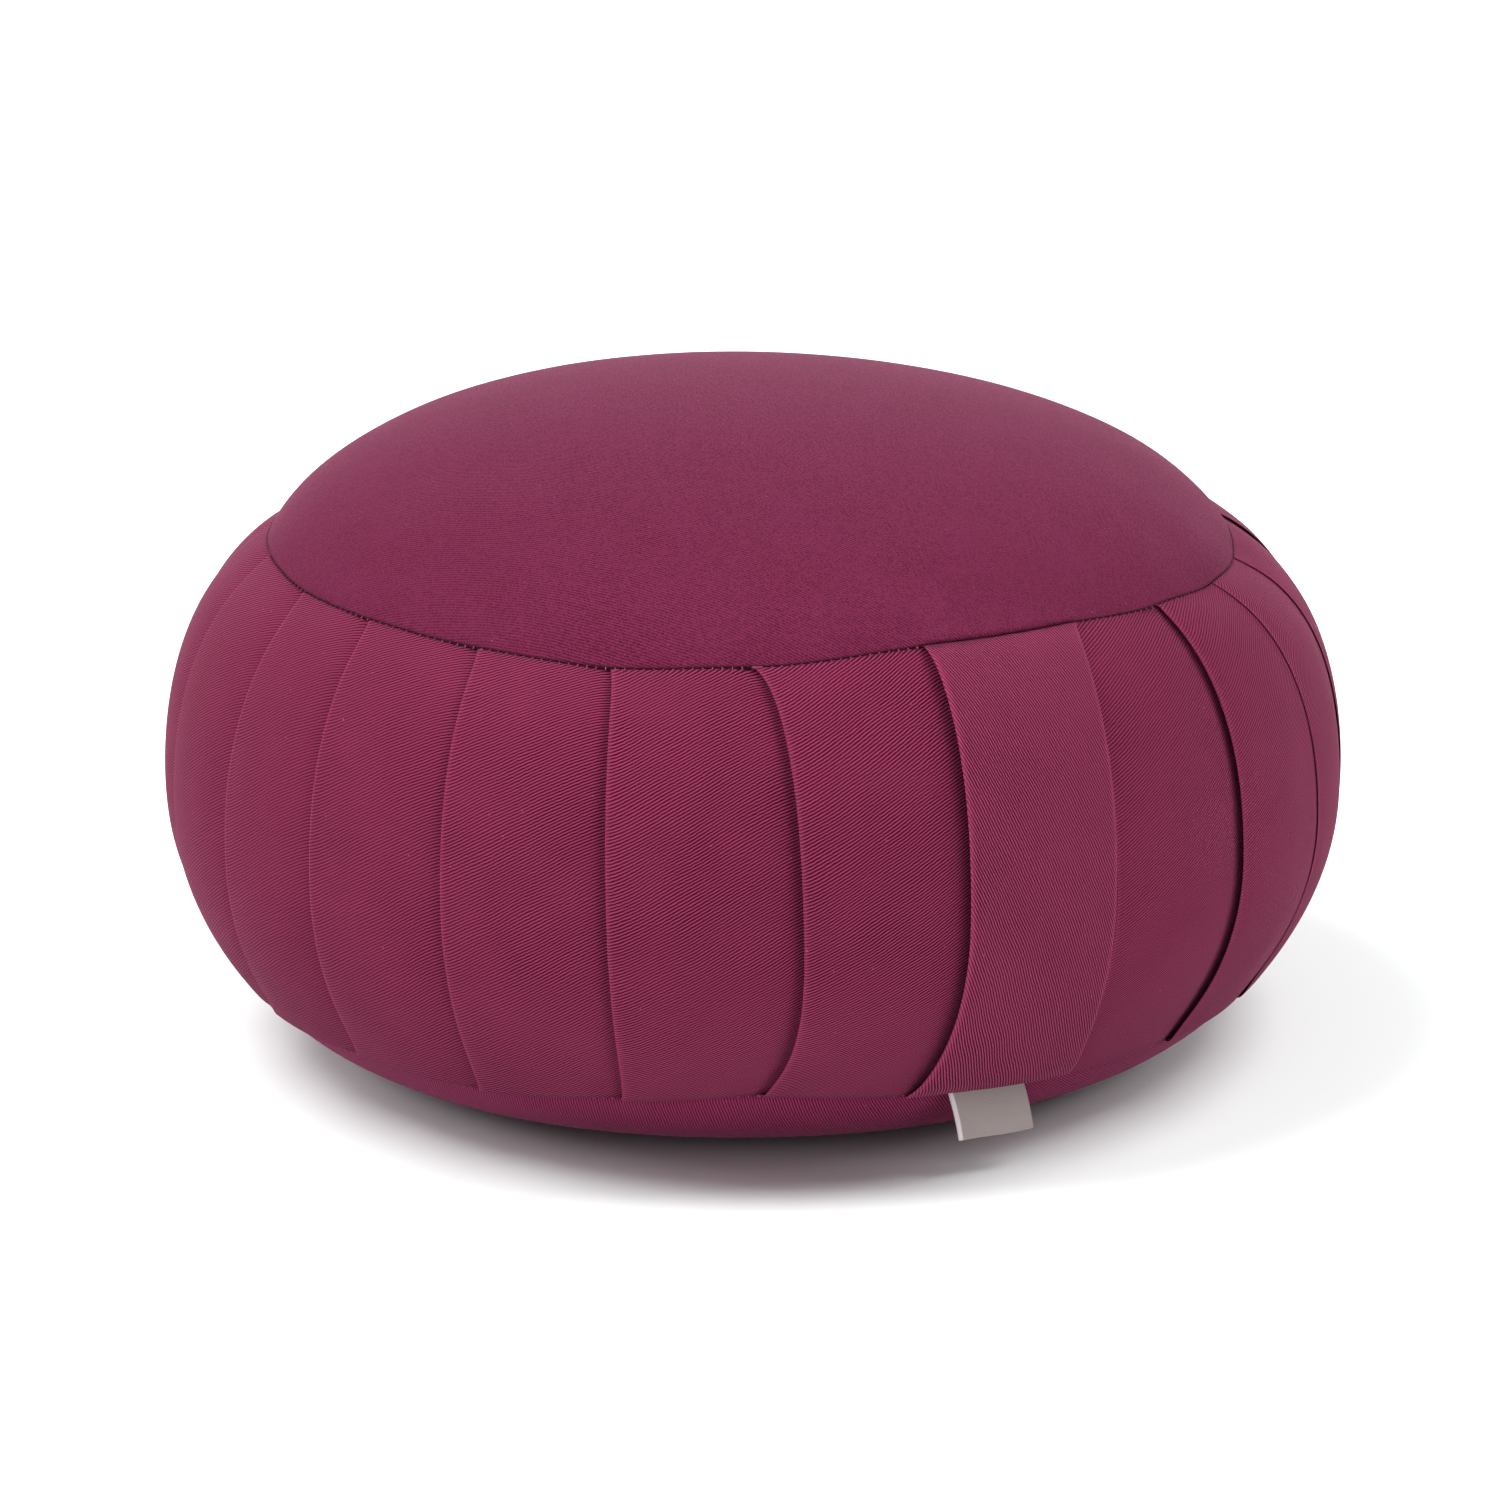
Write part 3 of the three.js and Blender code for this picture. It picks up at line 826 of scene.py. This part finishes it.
def top_place(distance, angle):
    sunk = puckered(angle, TOP_STITCHES, distance) - overhung(angle, distance)
    spot = pushed(crown_spot(distance), -sunk)
    turn = math.radians(angle)
    reach = crown.length - distance
    return cover_point(spot, angle), (reach * math.sin(turn), -reach * math.cos(turn))


top_shape, top_flat = round_panel(top_place, crown.length, TOP_STITCHES, TOP_GROOVE)
on_cloth(top_shape, lambda vertex, face: top_flat[vertex])
bmesh.ops.recalc_face_normals(top_shape, faces=top_shape.faces)
top = finished(top_shape, "top_panel_cloth", top_cloth)
smoother(top)
lit(top)
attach(top, "root")
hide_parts("top_panel")

# The stitches of the top seam. Each is a short bar of thread that crosses the groove between
# the two cloths, where the filling draws them apart. Their sizes are in millimetres.
STITCH_ACROSS = 0.62
STITCH_ALONG = 0.24
STITCH_THICK = 0.2
STITCH_SUNK = 0.38
THREAD_MOTTLE = 900

thread_cloth = bpy.data.materials.new("seam_thread")
thread_cloth.use_nodes = True
thread_finish = thread_cloth.node_tree.nodes["Principled BSDF"]
thread_place = Yarn(thread_cloth.node_tree).node("ShaderNodeTexCoord", None, None, 3)
thread_colour = thread_place.cloud(THREAD_MOTTLE).between(dye(96, 26, 50), dye(146, 72, 98))
thread_colour.into(thread_finish, "Base Color")
thread_finish.inputs["Roughness"].default_value = 0.8
thread_finish.inputs["Specular IOR Level"].default_value = 0.2


def stitched(name, stitches, above, below, deep):
    """A seam's stitches as one piece, from the spots on both cloths and the one in the groove."""
    shape = bmesh.new()
    bmesh.ops.create_uvsphere(shape, u_segments=6, v_segments=4, radius=MILLIMETRE)
    corners = len(shape.verts)
    first = shape.verts[:] + shape.edges[:] + shape.faces[:]
    bmesh.ops.spin(
        shape,
        geom=first,
        axis=(0, 0, 1),
        cent=(0, 0, 0),
        dvec=(0, 0, 0),
        angle=0,
        steps=stitches - 1,
        use_duplicate=True,
    )
    for index, vertex in enumerate(shape.verts):
        if index % corners == 0:
            angle = index // corners * FULL_TURN / stitches
            across = (cover_point(above, angle) - cover_point(below, angle)).normalized()
            along = cover_point(deep, angle + 0.5) - cover_point(deep, angle)
            along = (along - across * along.dot(across)).normalized()
            bar = Matrix.Translation(cover_point(deep, angle))
            bar = bar @ Matrix((across, along, across.cross(along))).transposed().to_4x4()
            bar = bar @ Matrix.Diagonal((STITCH_ACROSS, STITCH_ALONG, STITCH_THICK, 1))
        vertex.co = bar @ vertex.co
    bmesh.ops.recalc_face_normals(shape, faces=shape.faces)
    return finished(shape, name, thread_cloth)


top_stitches = stitched(
    "top_seam_stitches",
    TOP_STITCHES,
    above=crown_spot(MILLIMETRE),
    below=band_spot(MILLIMETRE),
    deep=band_spot(-STITCH_SUNK * MILLIMETRE),
)
lit(top_stitches)
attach(top_stitches, "root")

# The bottom panel is the same disc underneath. It comes down from the bottom seam and lies flat
# on the floor, so only a thin crescent of it shows from the front. Its rim is tucked in behind
# the band's edge.
BOTTOM_STITCHES = 350
BOTTOM_SLOPE = 77
BOTTOM_TUCK = 1.4 * MILLIMETRE
BOTTOM_TUCK_REACH = 2.6 * MILLIMETRE
bottom_reach = underside.length + FOOT_RADIUS

bottom_cloth = twill(
    "bottom_twill", dye(134, 46, 84), dye(64, 3, 28), dye(126, 48, 80), BOTTOM_SLOPE
)


def bottom_place(distance, angle):
    tucked = BOTTOM_TUCK * math.exp(-max(0.0, distance) / BOTTOM_TUCK_REACH)
    sunk = tucked + puckered(angle, BOTTOM_STITCHES, distance)
    spot = pushed(underside_spot(distance), -sunk)
    turn = math.radians(angle)
    reach = bottom_reach - distance
    return cover_point(spot, angle), (reach * math.sin(turn), -reach * math.cos(turn))


bottom_shape, bottom_flat = round_panel(
    bottom_place, bottom_reach, BOTTOM_STITCHES, BOTTOM_GROOVE
)
on_cloth(bottom_shape, lambda vertex, face: bottom_flat[vertex])
bmesh.ops.recalc_face_normals(bottom_shape, faces=bottom_shape.faces)
bottom = finished(bottom_shape, "bottom_panel_cloth", bottom_cloth)
smoother(bottom)
lit(bottom)
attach(bottom, "root")
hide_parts("bottom_panel")

bottom_stitches = stitched(
    "bottom_seam_stitches",
    BOTTOM_STITCHES,
    above=band_spot(BAND_LENGTH - MILLIMETRE),
    below=underside_spot(MILLIMETRE),
    deep=band_spot(BAND_LENGTH + STITCH_SUNK * MILLIMETRE),
)
lit(bottom_stitches)
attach(bottom_stitches, "root")

# The carrying strap is a band of the same twill, turned a quarter so that its lines stand
# steeply. It is folded double, pressed flat and caught in both seams over the pleats.
STRAP_LEFT = dict(top=19.2, base=15.3, bow=2.2)
STRAP_RIGHT = dict(top=39.7, base=35.1, bow=-2.5)
STRAP_SLOPE = -62
STRAP_WIDTH = 0.055
STRAP_SIDE_HIGHLIGHT = 0.007

# Rows down from each seam and the step between them, in millimetres. The strap is squeezed to a
# share of its thickness in the seams, and its left side stands off the pleats. Shade is painted in
# the gap above it, reaching furthest at its left corner.
STRAP_ENDS = [-1.8, -0.6, 0.4, 1.4, 3.0, 5.0]
STRAP_ROW_STEP = 2.4
STRAP_CAUGHT = 0.25
STRAP_FREE_FROM = 7
STRAP_STAND = 1.2
STRAP_END_SHADE = 2.2 * MILLIMETRE
STRAP_END_WIDENS = 1.2

# Round the strap's section: the share of its width, and how far it stands out, in millimetres
STRAP_SECTION = [
    dict(across=0.000, out=1.5),
    dict(across=0.006, out=2.25),
    dict(across=0.030, out=2.5),
    dict(across=0.100, out=2.55),
    dict(across=0.220, out=2.5),
    dict(across=0.360, out=2.45),
    dict(across=0.500, out=2.4),
    dict(across=0.640, out=2.35),
    dict(across=0.780, out=2.3),
    dict(across=0.900, out=2.2),
    dict(across=0.970, out=2.05),
    dict(across=0.994, out=1.75),
    dict(across=1.000, out=1.15),
    dict(across=0.992, out=0.7),
    dict(across=0.960, out=0.6),
    dict(across=0.750, out=0.7),
    dict(across=0.500, out=0.8),
    dict(across=0.250, out=0.8),
    dict(across=0.040, out=0.75),
    dict(across=0.008, out=0.9),
]

strap_cloth = twill(
    "strap_twill", dye(142, 52, 86), dye(26, 0, 8), dye(126, 46, 78), STRAP_SLOPE
)


def strap_point(corner, distance):
    """The place of a corner of the strap's section at a distance down from the top seam."""
    spot = band_spot(distance)
    drop = spot["drop"]
    across = corner["across"]
    angle = mixed(edge_angle(STRAP_LEFT, drop), edge_angle(STRAP_RIGHT, drop), across)
    from_end = max(0.0, min(distance, BAND_LENGTH - distance)) / MILLIMETRE
    caught = min(1.0, mixed(STRAP_CAUGHT, 1.0, from_end / STRAP_FREE_FROM))
    stand = STRAP_STAND * (1 - across) ** 3 * folded(drop)
    return cover_point(pushed(spot, (corner["out"] * caught + stand) * MILLIMETRE), angle)


strap_rows = rows_down(STRAP_ENDS, STRAP_ROW_STEP)
around = len(STRAP_SECTION)
strap_shape = bmesh.new()
bmesh.ops.create_grid(strap_shape, x_segments=around, y_segments=len(strap_rows) - 1, size=0.5)
strap_highlight = strap_shape.verts.layers.float.new("fold_highlight")
strap_shaded = strap_shape.verts.layers.float.new("shaded")
strap_flat = {}
for vertex in strap_shape.verts:
    corner = STRAP_SECTION[round((vertex.co.x + 0.5) * around) % around]
    distance = strap_rows[round((0.5 - vertex.co.y) * (len(strap_rows) - 1))]
    across = corner["across"]
    vertex.co = strap_point(corner, distance)
    strap_flat[vertex] = (across * STRAP_WIDTH, -distance)
    # Shade is painted on the strap's top end, in the gap under the top panel's rim
    vertex[strap_shaded] = in_groove(distance, STRAP_END_SHADE * (STRAP_END_WIDENS - across))
    # A highlight is painted along the strap's folded sides
    at_side = min(across, 1 - across) < STRAP_SIDE_HIGHLIGHT
    vertex[strap_highlight] = 1.0 if at_side and corner["out"] > 1 else 0.0
on_cloth(strap_shape, lambda vertex, face: strap_flat[vertex])
bmesh.ops.remove_doubles(strap_shape, verts=strap_shape.verts, dist=1e-7)
bmesh.ops.holes_fill(strap_shape, edges=strap_shape.edges, sides=around)
bmesh.ops.recalc_face_normals(strap_shape, faces=strap_shape.faces)
strap = finished(strap_shape, "carry_strap_cloth", strap_cloth)
smoother(strap)
lit(strap)
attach(strap, "root")
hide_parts("carry_strap")

# The flag label is a short grey tape, folded over and caught in the bottom seam under the strap.
# It is bare. The tape's paler woven edge shows on its left, and a highlight is painted along the
# fold.
LABEL_ANGLE = 24.7
LABEL_WIDTH = 0.0241
LABEL_LENGTH = 0.0125
LABEL_IN_SEAM = 0.002
LABEL_BELOW_SEAM = 0.0008
LABEL_FLARE_AT_SEAM = 42
LABEL_FLARE_AT_END = 18
LABEL_STEPS = 12
LABEL_APART = 0.0007
LABEL_NOSE = 0.0001
LABEL_WAVE = 0.0004
LABEL_CLOTH = 0.00035
LABEL_COLUMNS = 10

# On its flat tape, in metres: the length of one step, the pale edge, the fold's painted highlight
# and the ribs across it
LABEL_ROW = 0.0012
LABEL_SELVAGE = 0.0014
LABEL_SELVAGE_SOFT = 0.0004
LABEL_FOLD_AT = (LABEL_STEPS + 1) * LABEL_ROW
LABEL_FOLD_WIDE = 0.0011
LABEL_FOLD_PALE = 0.7
RIBS_PER_METRE = 2600
RIB_HEIGHT = 0.00004

label_cloth = bpy.data.materials.new("label_tape")
label_cloth.use_nodes = True
label_finish = label_cloth.node_tree.nodes["Principled BSDF"]
tape = Yarn(label_cloth.node_tree)
tape_place = tape.node("ShaderNodeUVMap", {"uv_map": "cloth"})
tape_across = tape.node("ShaderNodeSeparateXYZ", None, {0: tape_place}, 0)
tape_down = tape.node("ShaderNodeSeparateXYZ", None, {0: tape_place}, 1)
tape_rib = (tape_down * RIBS_PER_METRE).wave()
tape_colour = (tape_rib * 0.5).between(dye(116, 104, 103), dye(134, 122, 121))
edge = ((LABEL_SELVAGE - tape_across) * (1 / LABEL_SELVAGE_SOFT)).kept()
# A highlight painted pale along the tape's fold
fold = tape_down - LABEL_FOLD_AT
fold = (1 - fold.maths("ABSOLUTE", fold) * (1 / LABEL_FOLD_WIDE)).kept()
pale = edge.maths("MAXIMUM", edge, fold * LABEL_FOLD_PALE)
tape_colour = pale.between(tape_colour, dye(176, 166, 168))
tape_colour.into(label_finish, "Base Color")
tape_bump = tape.node(
    "ShaderNodeBump", None, {"Strength": 1.0, "Distance": RIB_HEIGHT, "Height": tape_rib}
)
tape_bump.into(label_finish, "Normal")
label_finish.inputs["Roughness"].default_value = 0.6
label_finish.inputs["Sheen Weight"].default_value = 0.15

label_turn = math.radians(LABEL_ANGLE)
label_sideways = Vector((math.cos(label_turn), math.sin(label_turn), 0))
label_outwards = Vector((math.sin(label_turn), -math.cos(label_turn), 0))


def label_path():
    """The tape's route as steps outwards and down: the front layer, the fold, the back layer."""
    step = (LABEL_LENGTH + LABEL_IN_SEAM) / LABEL_STEPS
    front = [Vector((0, LABEL_IN_SEAM))]
    for index in range(LABEL_STEPS):
        share = (index + 0.5) / LABEL_STEPS
        flare = math.radians(mixed(LABEL_FLARE_AT_SEAM, LABEL_FLARE_AT_END, share))
        front.append(front[-1] + Vector((math.sin(flare), -math.cos(flare))) * step)
    back = [point + Vector((-LABEL_APART, -LABEL_APART * 0.3)) for point in front]
    nose = (front[-1] + back[-1]) / 2 + Vector((LABEL_NOSE, -LABEL_APART * 0.6))
    return front + [nose] + back[::-1]


label_line = label_path()
label_spot = cover_point(pushed(underside_spot(LABEL_BELOW_SEAM), LABEL_APART), LABEL_ANGLE)
label_shape = bmesh.new()
bmesh.ops.create_grid(
    label_shape, x_segments=LABEL_COLUMNS, y_segments=len(label_line) - 1, size=0.5
)
label_flat = {}
for vertex in label_shape.verts:
    share = vertex.co.x
    index = round((0.5 - vertex.co.y) * (len(label_line) - 1))
    reach = label_line[index]
    wave = LABEL_WAVE * math.sin(share * 7.5 + 0.6) * min(1.0, index / LABEL_STEPS)
    label_flat[vertex] = ((share + 0.5) * LABEL_WIDTH, index * LABEL_ROW)
    vertex.co = (
        label_spot
        + label_sideways * share * LABEL_WIDTH
        + label_outwards * (reach.x + wave)
        + Vector((0, 0, reach.y))
    )
on_cloth(label_shape, lambda vertex, face: label_flat[vertex])
bmesh.ops.recalc_face_normals(label_shape, faces=label_shape.faces)
label = finished(label_shape, "seam_label_tape", label_cloth)
thickness = label.modifiers.new("cloth", "SOLIDIFY")
thickness.thickness = LABEL_CLOTH
thickness.offset = 0
smoother(label)
lit(label)
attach(label, "root")
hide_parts("seam_label")
